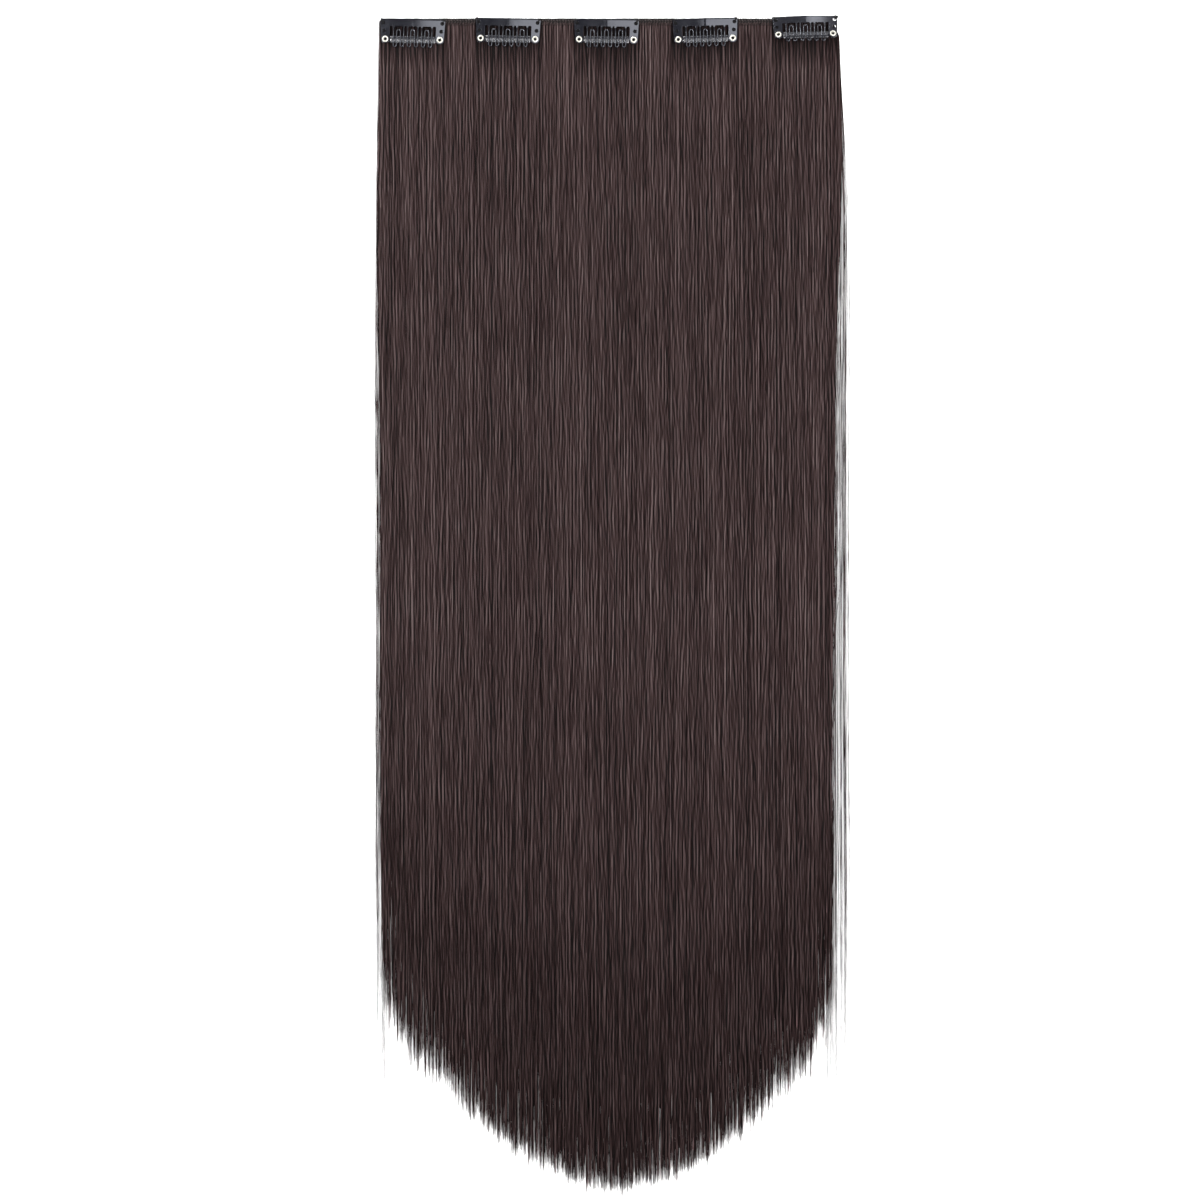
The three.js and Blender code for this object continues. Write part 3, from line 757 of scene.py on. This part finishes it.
base_hair = underlayer()
deep_strands = strand_tree(HAIR_DEEP_SHADED)
fine_strands = strand_tree(HAIR_FINE)
wisps = strand_tree(HAIR_WISPS)
hair_pieces = [
    base_hair,
    deep_strands.grow(
        "hair_strands_deep",
        Strands=2350,
        Half_Width=0.42,
        Tufts=46.0,
        Gather=0.4,
        Wander=0.7,
        Shortfall=34.0,
        Depth=0.5,
        Seed=1,
    ),
    fine_strands.grow(
        "hair_strands_middle",
        Strands=2500,
        Half_Width=0.3,
        Tufts=74.0,
        Gather=0.5,
        Wander=0.7,
        Shortfall=26.0,
        Depth=0.3,
        Seed=2,
    ),
    fine_strands.grow(
        "hair_strands_upper",
        Strands=2500,
        Half_Width=0.22,
        Tufts=110.0,
        Gather=0.45,
        Wander=0.9,
        Shortfall=22.0,
        Depth=0.14,
        Seed=3,
    ),
    fine_strands.grow(
        "hair_strands_loose",
        Strands=1300,
        Half_Width=0.08,
        Tufts=60.0,
        Gather=0.2,
        Wander=1.3,
        Sway=1.4,
        Shortfall=20.0,
        Stray=10.0,
        Depth=0.1,
        Drawn_In=0.62,
        Seed=4,
    ),
    fine_strands.grow(
        "hair_side_wisps_right",
        Strands=96,
        Half_Width=0.085,
        Side_From=0.925,
        Side_To=1.028,
        Longer=48.0,
        Gather=0.0,
        Wander=1.0,
        Shortfall=8.0,
        Edge_Loss=60.0,
        Drawn_In=0.0,
        Seed=11,
    ),
    fine_strands.grow(
        "hair_side_wisps_left",
        Strands=56,
        Half_Width=0.085,
        Side_From=-1.006,
        Side_To=-0.955,
        Longer=42.0,
        Gather=0.0,
        Wander=1.0,
        Shortfall=8.0,
        Edge_Loss=50.0,
        Drawn_In=0.0,
        Seed=12,
    ),
    fine_strands.grow(
        "hair_flyaways",
        Strands=34,
        Half_Width=0.07,
        Side_From=-0.9,
        Side_To=0.9,
        Gather=0.0,
        Wander=2.0,
        Stray=14.0,
        Rarity=1.0,
        Shortfall=60.0,
        Depth=0.0,
        Seed=15,
    ),
    wisps.grow(
        "hair_tip_wisps",
        Strands=5000,
        Segments=3,
        Half_Width=0.17,
        Tufts=125.0,
        Gather=1.0,
        Wander=1.2,
        Shortfall=19.0,
        Depth=0.8,
        Drawn_In=0.8,
        Tips_Only=1.0,
        Tip_Share=0.36,
        Thinning=42.0,
        Seed=8,
    ),
]
for strands in hair_pieces:
    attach(strands, "root")
    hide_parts("hair")


# Mesh helpers for the clips, in millimetres.
def arc(x, y, radius, start, end, steps):
    """Points on a circle between two angles in degrees."""
    angles = np.radians(np.linspace(start, end, steps + 1))
    return [(x + radius * math.cos(a), y + radius * math.sin(a)) for a in angles]


def rounded(corners, steps=5):
    """An outline through corners (x, y, radius), each turned on an arc of its radius."""
    points = []
    for i, (x, y, radius) in enumerate(corners):
        before, after = corners[i - 1], corners[(i + 1) % len(corners)]
        here = Vector((x, y))
        one = (Vector(before[:2]) - here).normalized()
        two = (Vector(after[:2]) - here).normalized()
        if radius <= 0 or one.angle(two) > math.pi - 0.01:
            points.append((x, y))
            continue
        half_angle = one.angle(two) / 2
        reach = radius / math.tan(half_angle)
        centre = here + (one + two).normalized() * (radius / math.sin(half_angle))
        first, last = here + one * reach, here + two * reach
        a0 = math.atan2(first.y - centre.y, first.x - centre.x)
        a1 = math.atan2(last.y - centre.y, last.x - centre.x)
        turn = (a1 - a0 + math.pi) % (2 * math.pi) - math.pi
        for k in range(steps + 1):
            a = a0 + turn * k / steps
            points.append((centre.x + radius * math.cos(a), centre.y + radius * math.sin(a)))
    return points


def stamped(outline, holes, thickness, edge):
    """A sheet cut to an outline with holes and rounded edges, its middle at z 0, as a bmesh."""
    curve = bpy.data.curves.new("stamping", "CURVE")
    curve.dimensions = "2D"
    curve.fill_mode = "BOTH"
    curve.extrude = thickness / 2 - edge
    curve.bevel_depth = edge
    curve.bevel_resolution = 1
    curve.offset = -edge
    for ring in [outline, *holes]:
        spline = curve.splines.new("POLY")
        spline.points.add(len(ring) - 1)
        for point, (x, y) in zip(spline.points, ring):
            point.co = (x, y, 0, 1)
        spline.use_cyclic_u = True
    host = bpy.data.objects.new("stamping", curve)
    bpy.context.scene.collection.objects.link(host)
    depsgraph = bpy.context.evaluated_depsgraph_get()
    mesh = bpy.data.meshes.new_from_object(host.evaluated_get(depsgraph), depsgraph=depsgraph)
    bm = bmesh.new()
    bm.from_mesh(mesh)
    bmesh.ops.remove_doubles(bm, verts=bm.verts, dist=1e-4)
    bpy.data.objects.remove(host)
    bpy.data.curves.remove(curve)
    bpy.data.meshes.remove(mesh)
    return bm


def sliced(bm, places, axis=0):
    """Cuts a bmesh along planes of constant x, or y for axis 1, so that it can be bent there."""
    for place in places:
        geometry = bm.verts[:] + bm.edges[:] + bm.faces[:]
        point, normal = [0, 0, 0], [0, 0, 0]
        point[axis], normal[axis] = place, 1
        bmesh.ops.bisect_plane(bm, geom=geometry, dist=1e-5, plane_co=point, plane_no=normal)
    return bm


def swept(path, section):
    """A closed solid: a section of (sideways, up) points drawn along a path of (x, y, z) points."""
    bm = bmesh.new()
    path = [Vector(p) for p in path]
    rings = []
    for i, p in enumerate(path):
        ahead = (path[min(i + 1, len(path) - 1)] - path[max(i - 1, 0)]).normalized()
        sideways = Vector((-ahead.y, ahead.x, 0)).normalized()
        upward = ahead.cross(sideways) * -1
        if upward.z < 0:
            upward = -upward
        rings.append([bm.verts.new(p + sideways * u + upward * v) for u, v in section])
    for a, b in zip(rings, rings[1:]):
        for k in range(len(section)):
            n = (k + 1) % len(section)
            bm.faces.new((a[k], a[n], b[n], b[k]))
    bm.faces.new(rings[0][::-1])
    bm.faces.new(rings[-1])
    bmesh.ops.recalc_face_normals(bm, faces=bm.faces)
    return bm


def turned(profile, steps=32):
    """A closed ring of (radius, z) points spun about the Z axis."""
    bm = bmesh.new()
    rings = []
    for k in range(steps):
        a = 2 * math.pi * k / steps
        rings.append([bm.verts.new((r * math.cos(a), r * math.sin(a), z)) for r, z in profile])
    for a, b in zip(rings, rings[1:] + rings[:1]):
        for k in range(len(profile)):
            n = (k + 1) % len(profile)
            bm.faces.new((a[k], a[n], b[n], b[k]))
    bmesh.ops.recalc_face_normals(bm, faces=bm.faces)
    return bm


def finished(bm, name, place, material, sharp=38, bend=None):
    """Puts a bmesh in its place and smooths it, but for edges sharper than that many degrees.
    bend gives a point's normal where the point lies on a sheet's flat side, and nothing elsewhere."""
    for face in bm.faces:
        face.smooth = True
    for edge in bm.edges:
        if len(edge.link_faces) == 2 and edge.calc_face_angle(0) > math.radians(sharp):
            edge.smooth = False
    mesh = bpy.data.meshes.new(name)
    bm.to_mesh(mesh)
    bm.free()
    turn = place.to_3x3().normalized()
    normals = [(turn @ Vector(bend(v.co))).normalized() if bend else Vector() for v in mesh.vertices]
    mesh.transform(place)
    if bend:
        mesh.normals_split_custom_set_from_vertices([tuple(n) for n in normals])
    return piece(name, mesh, material)


def joined(parts):
    """One bmesh from several."""
    whole = bmesh.new()
    for part in parts:
        mesh = bpy.data.meshes.new("joining")
        part.to_mesh(mesh)
        part.free()
        whole.from_mesh(mesh)
        bpy.data.meshes.remove(mesh)
    return whole


def roof(x):
    """How far the creased plate stands over its ends at x."""
    return ROOF * (1 - (min(abs(x), CLIP_HALF) / CLIP_HALF) ** ROOF_CURVE)


# The pieces of a clip.
def plate_shape():
    """The outline of a plate: its top bar with a small peak, two arms, and the stubs of its teeth."""
    right = [
        (CLIP_HALF, 0.0, 1.2),
        (RIVET_X + ARM_END, RIVET_Y + 0.2, 0.4),
        (RIVET_X + ARM_END, RIVET_Y - ARM_END, 1.98),
        (RIVET_X - ARM_END, RIVET_Y - ARM_END, 1.98),
        (RIVET_X - ARM_END, RIVET_Y + 0.2, 0.4),
        (HALF_WINDOW, -TOP_BAR + 0.25, 0.55),
    ]
    half = STRIP / 2 + 0.06
    outer = PITCH / 2 + LOOP_RADIUS
    for x in (2 * PITCH + outer, 2 * PITCH - outer, outer):
        right += [
            (x + half + 0.1, -TOP_BAR + 0.1, 0.35),
            (x + half, -TOP_BAR - 0.72, 0.16),
            (x - half, -TOP_BAR - 0.72, 0.16),
            (x - half - 0.1, -TOP_BAR + 0.1, 0.35),
        ]
    left = [(-x, y, r) for x, y, r in reversed(right)]
    peak, foot = (0.0, 0.14, 0.12), 0.22
    return rounded([peak, (foot, 0.0, 0.05), *right, (0.0, -TOP_BAR, 0), *left, (-foot, 0.0, 0.05)])


def round_hole(x, y, radius):
    return arc(x, y, radius, 0, 345, 23)


def plate(name, place):
    """The stamped plate: a roof with a groove along its crease, and normals along its top edge that lean back as if
    it were rolled.
    """
    holes = [round_hole(side * x, y, SEWING_HOLE) for side in (-1, 1) for x, y in SEWING_HOLES]
    holes += [round_hole(side * RIVET_X, RIVET_Y, RIVET_HOLE) for side in (-1, 1)]
    bm = stamped(plate_shape(), holes, PLATE_THICKNESS, 0.1)
    cuts = [k * 1.3 for k in range(-12, 13)] + [-0.5, -0.36, -0.2, 0.2, 0.36, 0.5]
    sliced(bm, sorted(cuts))
    sliced(bm, (-0.7,), 1)
    for v in bm.verts:
        groove = 0.2 * max(0.0, 1 - abs(v.co.x) / 0.5)
        v.co.z += PLATE_THICKNESS / 2 + roof(v.co.x) - groove

    def bend(co):
        """The normal of a point on the flat sides, so that each half mirrors the room like a shallow bow."""
        height = co.z - PLATE_THICKNESS / 2 - roof(co.x)
        rolled = 0.26 * float(smooth(co.y, -0.75, 0.0))
        if abs(co.x) < 0.4 and height > 0:
            return (-0.12, rolled, 1)
        if abs(co.x) < 0.45 or abs(abs(height) - PLATE_THICKNESS / 2) > 0.004:
            return (0, 0, 0)
        lean = math.copysign(0.01 + 0.09 * abs(co.x) / CLIP_HALF, co.x)
        return (lean, rolled, 1) if height > 0 else (-lean, 0, -1)

    return finished(bm, name, place, LACQUER, bend=bend)


WIRE_SECTION = (
    (1, -0.5),
    (0.98, 0.0),
    (0.86, 0.42),
    (0.66, 0.74),
    (0.38, 0.96),
    (0, 1.06),
    (-0.38, 0.96),
    (-0.66, 0.74),
    (-0.86, 0.42),
    (-0.98, 0.0),
    (-1, -0.5),
    (-0.6, -1),
    (0.6, -1),
)
FLAT_WIRE = [(x * STRIP / 2, z * PLATE_THICKNESS / 2) for x, z in WIRE_SECTION]


def teeth(name, place, group):
    """Two loops joined by a bow. They rise from the plate over the sleeve, and hook down past it."""
    middle = group * 2 * PITCH
    loop_x = PITCH / 2
    bow = loop_x - LOOP_RADIUS
    loop_y = -TOOTH_REACH + LOOP_RADIUS + STRIP / 2
    flat = [(-loop_x - LOOP_RADIUS, y) for y in np.linspace(TOOTH_ROOT, loop_y, 12)[:-1]]
    flat += arc(-loop_x, loop_y, LOOP_RADIUS, 180, 360, 12)
    flat += [(-loop_x + LOOP_RADIUS, y) for y in np.linspace(loop_y, BOW_TOP - bow, 10)[1:-1]]
    flat += arc(0, BOW_TOP - bow, bow, 180, 0, 12)
    flat += [(loop_x - LOOP_RADIUS, y) for y in np.linspace(BOW_TOP - bow, loop_y, 10)[1:-1]]
    flat += arc(loop_x, loop_y, LOOP_RADIUS, 180, 360, 12)
    flat += [(loop_x + LOOP_RADIUS, y) for y in np.linspace(loop_y, TOOTH_ROOT, 12)[1:]]
    path = []
    for x, y in flat:
        jog = float(smooth(-y, -TOOTH_ROOT, 6.0)) * 0.34 - float(smooth(-y, 11.2, TOOTH_REACH)) * 0.5
        path.append((middle + x, y, PLATE_THICKNESS / 2 + roof(middle + x) + jog))
    return finished(swept(path, FLAT_WIRE), name, place, LACQUER)


def sleeve(name, place):
    """A soft tube pressed flat on the bar, with fine ribs along it and ends drawn in."""
    steps, around = 130, 20
    bm = bmesh.new()
    rings = []
    half = SLEEVE_LENGTH / 2
    for i in range(steps + 1):
        x = -half + SLEEVE_LENGTH * i / steps
        end = min(1.0, (half - abs(x)) / 0.35)
        drawn = 0.72 + 0.28 * math.sqrt(max(0.0, 1 - (1 - end) ** 2))
        swell = drawn * (1 + 0.04 * math.cos(2 * math.pi * x / RIB_SPACING))
        ring = []
        for k in range(around):
            a = 2 * math.pi * k / around
            y = SLEEVE_HEIGHT / 2 * swell * math.cos(a)
            z = SLEEVE_THICKNESS / 2 * swell * (abs(math.sin(a)) ** 0.8) * (1 if math.sin(a) > 0 else -1)
            ring.append(bm.verts.new((x, RIVET_Y + y, BAR_MIDDLE + z)))
        rings.append(ring)
    for a, b in zip(rings, rings[1:]):
        for k in range(around):
            n = (k + 1) % around
            bm.faces.new((a[k], a[n], b[n], b[k]))
    bm.faces.new(rings[0][::-1])
    bm.faces.new(rings[-1])
    bmesh.ops.recalc_face_normals(bm, faces=bm.faces)
    return finished(bm, name, place, GRIP, 60)


def bar(name, place):
    """A flat bar with a round eye at each rivet."""
    half, end = 1.05, 1.9
    angle = math.degrees(math.asin(half / end))
    outline = arc(RIVET_X, RIVET_Y, end, -180 + angle, 180 - angle, 28)
    outline += arc(-RIVET_X, RIVET_Y, end, angle, 360 - angle, 28)
    holes = [round_hole(side * RIVET_X, RIVET_Y, RIVET_HOLE) for side in (-1, 1)]
    bm = stamped(outline, holes, 0.4, 0.08)
    for v in bm.verts:
        v.co.z += BAR_MIDDLE
    return finished(bm, name, place, LACQUER)


def rivet_shade_plug(side):
    """A dark disc at the bottom of a rivet's hollow: painted shade, where the hollow would show shaded hair."""
    plug = turned([(0.0, -0.5), (0.9, -0.5), (0.9, 0.1), (0.0, 0.0)], 20)
    bmesh.ops.remove_doubles(plug, verts=plug.verts, dist=1e-5)
    bmesh.ops.translate(plug, vec=(side * RIVET_X, RIVET_Y, BAR_MIDDLE + 0.1), verts=plug.verts)
    return plug


def rivet(name, place, side):
    """A hollow rivet with rolled rims, square to the arm that it holds."""
    top, bottom = PLATE_THICKNESS + 0.02, BAR_MIDDLE - 0.2 - roof(RIVET_X) - 0.02
    profile = [
        (0.8, bottom - 0.2),
        (0.95, bottom - 0.3),
        (1.35, bottom - 0.28),
        (1.52, bottom - 0.12),
        (1.48, bottom),
        (0.96, bottom),
        (0.96, top),
        (1.5, top),
        (1.58, top + 0.1),
        (1.5, top + 0.26),
        (1.3, top + 0.38),
        (1.08, top + 0.37),
        (0.88, top + 0.24),
        (0.8, top + 0.02),
    ]
    bm = turned(profile)
    tilt = Matrix.Rotation(side * math.atan(ROOF / CLIP_HALF), 4, "Y")
    seat = Matrix.Translation((side * RIVET_X, RIVET_Y, roof(RIVET_X))) @ tilt
    bmesh.ops.transform(bm, matrix=seat, verts=bm.verts)
    return finished(bm, name, place, NICKEL, 50)


ROUND_THREAD = arc(0, 0, 0.17, 0, 300, 5)


def thread_loop(hole, edge, turns, spread, rng):
    """Sewing thread that comes up through a hole, over the plate's edge near a point, and down behind it."""
    hole, edge = Vector((*hole, 0)), Vector((*edge, 0))
    ahead = (edge - hole).normalized()
    sideways = Vector((ahead.y, -ahead.x, 0))
    lift = roof(hole.x)
    loops = []
    for k in range(turns):
        aside = (k - (turns - 1) / 2) * spread
        up = 0.62 + 0.1 * rng.random()
        strayed = [0.3 * (rng.random() - 0.5) for _ in range(3)]
        points = [
            hole + sideways * aside * 0.4 + Vector((0, 0, -0.35)),
            hole + sideways * aside * 0.5 + ahead * 0.1 + Vector((0, 0, 0.3)),
            hole + sideways * aside * 0.8 + ahead * 0.5 + Vector((0, 0, up)),
            hole.lerp(edge, 0.65) + sideways * (aside + strayed[0]) + Vector((0, 0, up + 0.06)),
            edge + sideways * (aside * 1.3 + strayed[1]) + ahead * 0.12 + Vector((0, 0, up - 0.1)),
            edge + sideways * (aside * 1.5 + strayed[2]) + ahead * 0.48 + Vector((0, 0, 0.1)),
            edge + sideways * aside * 1.3 + ahead * 0.3 + Vector((0, 0, -0.45)),
            edge + sideways * aside - ahead * 0.3 + Vector((0, 0, -0.9)),
        ]
        path = curve_through(points, 5)
        loops.append(swept([(px, py, pz + lift) for px, py, pz in path], ROUND_THREAD))
    return loops


def thread_pad_and_hole_shade(x, y, rng):
    """Turns of sewing thread that lie under a sewing hole and fill it: real sewing, laid thick and dark as painted
    shade in the hole.
    """
    rows = []
    for k in range(6):
        across = x + (k - 2.5) * 0.36
        reach = 1.2 + 0.2 * rng.random()
        bulge = 0.1 * rng.random()
        points = [(across + 0.1, y - reach, -0.3), (across, y, -0.17 + bulge), (across - 0.1, y + reach, -0.3)]
        path = [(px, py, pz + roof(x)) for px, py, pz in curve_through(points, 4)]
        rows.append(swept(path, ROUND_THREAD))
    return rows


def curve_through(points, steps):
    """A smooth path through points."""
    pts = [Vector(points[0])] + [Vector(p) for p in points] + [Vector(points[-1])]
    path = []
    for a, b, c, d in zip(pts, pts[1:], pts[2:], pts[3:]):
        for k in range(steps):
            t = k / steps
            bent = (2 * a - 5 * b + 4 * c - d) * t * t + (3 * b - a - 3 * c + d) * t**3
            path.append(0.5 * (2 * b + (c - a) * t + bent))
    path.append(pts[-1])
    return [tuple(p) for p in path]


def clip(number, along, above, turn, lift):
    """One snap clip, with what is sewn or riveted down on the root and its teeth on their own body."""
    seat = WEFT @ Matrix.Translation((along, above, BAND_THICKNESS + SEAT_GAP))
    place = seat @ Matrix.Rotation(math.radians(turn), 4, "Z") @ Matrix.Rotation(-math.radians(lift), 4, "X")
    prefix = f"clip_{number}_"
    fixed = {
        prefix + "plate": plate(prefix + "stamped_plate", place),
        prefix + "bar": bar(prefix + "flat_bar", place),
        prefix + "grip_sleeve": sleeve(prefix + "silicone_sleeve", place),
        prefix + "rivet_left": rivet(prefix + "eyelet_left", place, -1),
        prefix + "rivet_right": rivet(prefix + "eyelet_right", place, 1),
    }
    for node, made in fixed.items():
        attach(made, "root")
        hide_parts(node)
        "nickel" if "rivet" in node else "grip" if "sleeve" in node else "black_paint"
    for word, group in (("left", -1), ("middle", 0), ("right", 1)):
        made = teeth(prefix + "tooth_loops_" + word, place, group)
        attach(made, prefix + "teeth")
        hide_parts(prefix + "teeth_" + word)
    rng = np.random.default_rng(100 + number)
    x, y = SEWING_HOLES[0]
    turns = 5 if along + CLIP_HALF > BAND_RIGHT_END else 3
    loops = thread_loop((x + 0.15, y + 0.15), (x + 0.95, -0.3), turns, 0.3, rng)
    loops += thread_loop((-x - 0.15, y + 0.15), (-x - 0.95, -0.3), 3, 0.3, rng)
    for side in (-1, 1):
        # A dark disc in each rivet's hollow is painted shade.
        loops.append(rivet_shade_plug(side))
        # Thread pads fill the sewing holes over the band, and their darkness stands as painted shade in the holes.
        if side * along + CLIP_HALF < BAND_RIGHT_END or side < 0:
            for x, y in SEWING_HOLES:
                loops += thread_pad_and_hole_shade(side * x, y, rng)
    sewing = finished(joined(loops), prefix + "sewing_thread", place, SEWING_THREAD_AND_HOLE_SHADE)
    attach(sewing, "root")


for index, seat_values in enumerate(CLIPS):
    clip(index + 1, *seat_values)


# The sewn band: a flattened core of folded hair, overlock stitches along its edge, and a seam below them.
CORE_SECTION = (
    (0, 0.04),
    (1, 0.04),
    (1.06, 0.45),
    (0.94, 0.86),
    (0.72, 1.0),
    (0.3, 0.97),
    (0.04, 0.82),
    (-0.06, 0.4),
)


def band_core():
    """The flattened roll of folded hair under the stitches, a little uneven along its length. Its near-black
    colour, darker than the hair, is painted shade under the stitches.
    """
    steps, bm = 460, bmesh.new()
    rng = np.random.default_rng(9)
    lumps = np.interp(np.linspace(0, 1, steps + 1), np.linspace(0, 1, 160), rng.uniform(-1, 1, 160))
    edge = np.interp(np.linspace(0, 1, steps + 1), np.linspace(0, 1, 120), rng.uniform(-1, 1, 120))
    rings = []
    for i in range(steps + 1):
        x = -BAND_HALF + (BAND_RIGHT_END + BAND_HALF) * i / steps
        top = BAND_THICKNESS * (0.86 + 0.05 * lumps[i])
        y0 = -BAND_HEIGHT - 0.25 + 0.12 * lumps[i]
        y1 = CORE_TOP + 0.12 * edge[i]
        height = y1 - y0
        end = min(1.0, (steps - i) / 3, i / 3) ** 0.5 * 0.5 + 0.5
        rings.append([bm.verts.new((x, y0 + height * u, top * v * end)) for u, v in CORE_SECTION])
    for a, b in zip(rings, rings[1:]):
        for k in range(len(a)):
            n = (k + 1) % len(a)
            bm.faces.new((a[k], a[n], b[n], b[k]))
    bm.faces.new(rings[0][::-1])
    bm.faces.new(rings[-1])
    bmesh.ops.recalc_face_normals(bm, faces=bm.faces)
    return finished(bm, "band_core", WEFT, EDGE_THREAD_AND_CORE_SHADE)


def stitch_tree(material):
    """A row of short threads set side by side along X, each one an arch that leans."""
    g = Growth(
        "row_of_stitches",
        {
            "Stitches": 200,
            "Across": 1.2,
            "Lean": 0.3,
            "Rise": 0.3,
            "Thread": 0.16,
            "Row": 0.0,
            "Height": 2.3,
            "Unevenness": 0.1,
            "Seed": 1,
        },
    )
    count, pieces_each = g.size("Stitches"), 6
    real, number, point = g.lay(count, pieces_each + 1)
    step = point / float(pieces_each)
    seed, rough = g.size("Seed"), g.size("Unevenness")

    def uneven(salt):
        return g.chance(number, seed + salt, -1.0, 1.0) * rough

    middle = (number + 0.5) / count * (BAND_HALF + BAND_RIGHT_END) - BAND_HALF + uneven(3.0)
    from_middle = step - 0.5
    x = middle + from_middle * (g.size("Lean") + uneven(5.0))
    y = g.size("Row") + from_middle * -1.0 * (g.size("Across") + uneven(7.0)) + uneven(9.0) * 0.5
    z = g.size("Height") + g.size("Rise") * (1.0 - from_middle * from_middle * 4.0) + uneven(11.0) * 0.3
    place = g.put("ShaderNodeCombineXYZ", {0: x, 1: y, 2: z})
    laid = g.put("GeometryNodeSetPosition", {"Geometry": real, "Position": place.outputs[0]})
    radius = g.size("Thread") * (0.75 + 0.25 * (1.0 - from_middle * from_middle * 4.0))
    sized = g.put("GeometryNodeSetCurveRadius", {"Curve": laid.outputs[0], "Radius": radius})
    ring = g.put("GeometryNodeCurvePrimitiveCircle", {"Resolution": 6, "Radius": 1.0}, mode="RADIUS")
    g.end(g.thickened(sized.outputs[0], ring.outputs[0]), material)
    return g


edge_row, bead_row, seam_row = stitch_tree(EDGE_THREAD_AND_CORE_SHADE), stitch_tree(BEAD_HIGHLIGHT_THREAD), stitch_tree(BAND_THREAD)
band_pieces = [
    band_core(),
    edge_row.grow(
        "band_edge_stitches",
        Stitches=268,
        Across=0.9,
        Lean=0.3,
        Rise=0.3,
        Thread=0.18,
        Row=-0.2,
        Height=1.95,
        Unevenness=0.14,
        Seed=5,
    ),
    # A row of knots whose lighter thread paints their highlights.
    bead_row.grow(
        "band_beads",
        Stitches=158,
        Across=0.34,
        Lean=0.5,
        Rise=0.15,
        Thread=0.24,
        Row=-0.8,
        Height=2.3,
        Unevenness=0.14,
        Seed=9,
    ),
    seam_row.grow(
        "band_wraps",
        Stitches=158,
        Across=1.5,
        Lean=-0.9,
        Rise=0.25,
        Thread=0.27,
        Row=-2.25,
        Height=2.15,
        Unevenness=0.18,
        Seed=6,
    ),
    edge_row.grow(
        "band_seam",
        Stitches=150,
        Across=0.12,
        Lean=1.75,
        Rise=0.1,
        Thread=0.13,
        Row=-3.2,
        Height=2.2,
        Unevenness=0.12,
        Seed=7,
    ),
]
for made in band_pieces:
    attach(made, "root")
    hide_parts("weft_band")


# A pale floor that glows a little, so that the shadows between fine hairs stay pale.
FLOOR_HALF = 3.0
floor_mesh = bpy.data.meshes.new("floor")
floor_corners = [(FLOOR_HALF * x, FLOOR_HALF * y, 0) for x, y in ((-1, -1), (1, -1), (1, 1), (-1, 1))]
floor_mesh.from_pydata(floor_corners, [], [(0, 1, 2, 3)])
floor_material, floor_tree, floor_shader = new_material(
    "pale_floor",
    Roughness=0.9,
    Specular_IOR_Level=0.1,
    Emission_Color=(1, 1, 1, 1),
    Emission_Strength=0.4,
)
paper = group_node(floor_tree, MOTTLE, Scale=40.0, Low=0.0, High=1.0)
paper_shades = ((0.0, (0.93, 0.93, 0.93)), (1.0, (0.95, 0.95, 0.95)))
floor_tree.links.new(ramp(floor_tree, paper.outputs[0], paper_shades), floor_shader.inputs["Base Color"])
floor = piece("floor", floor_mesh, floor_material)
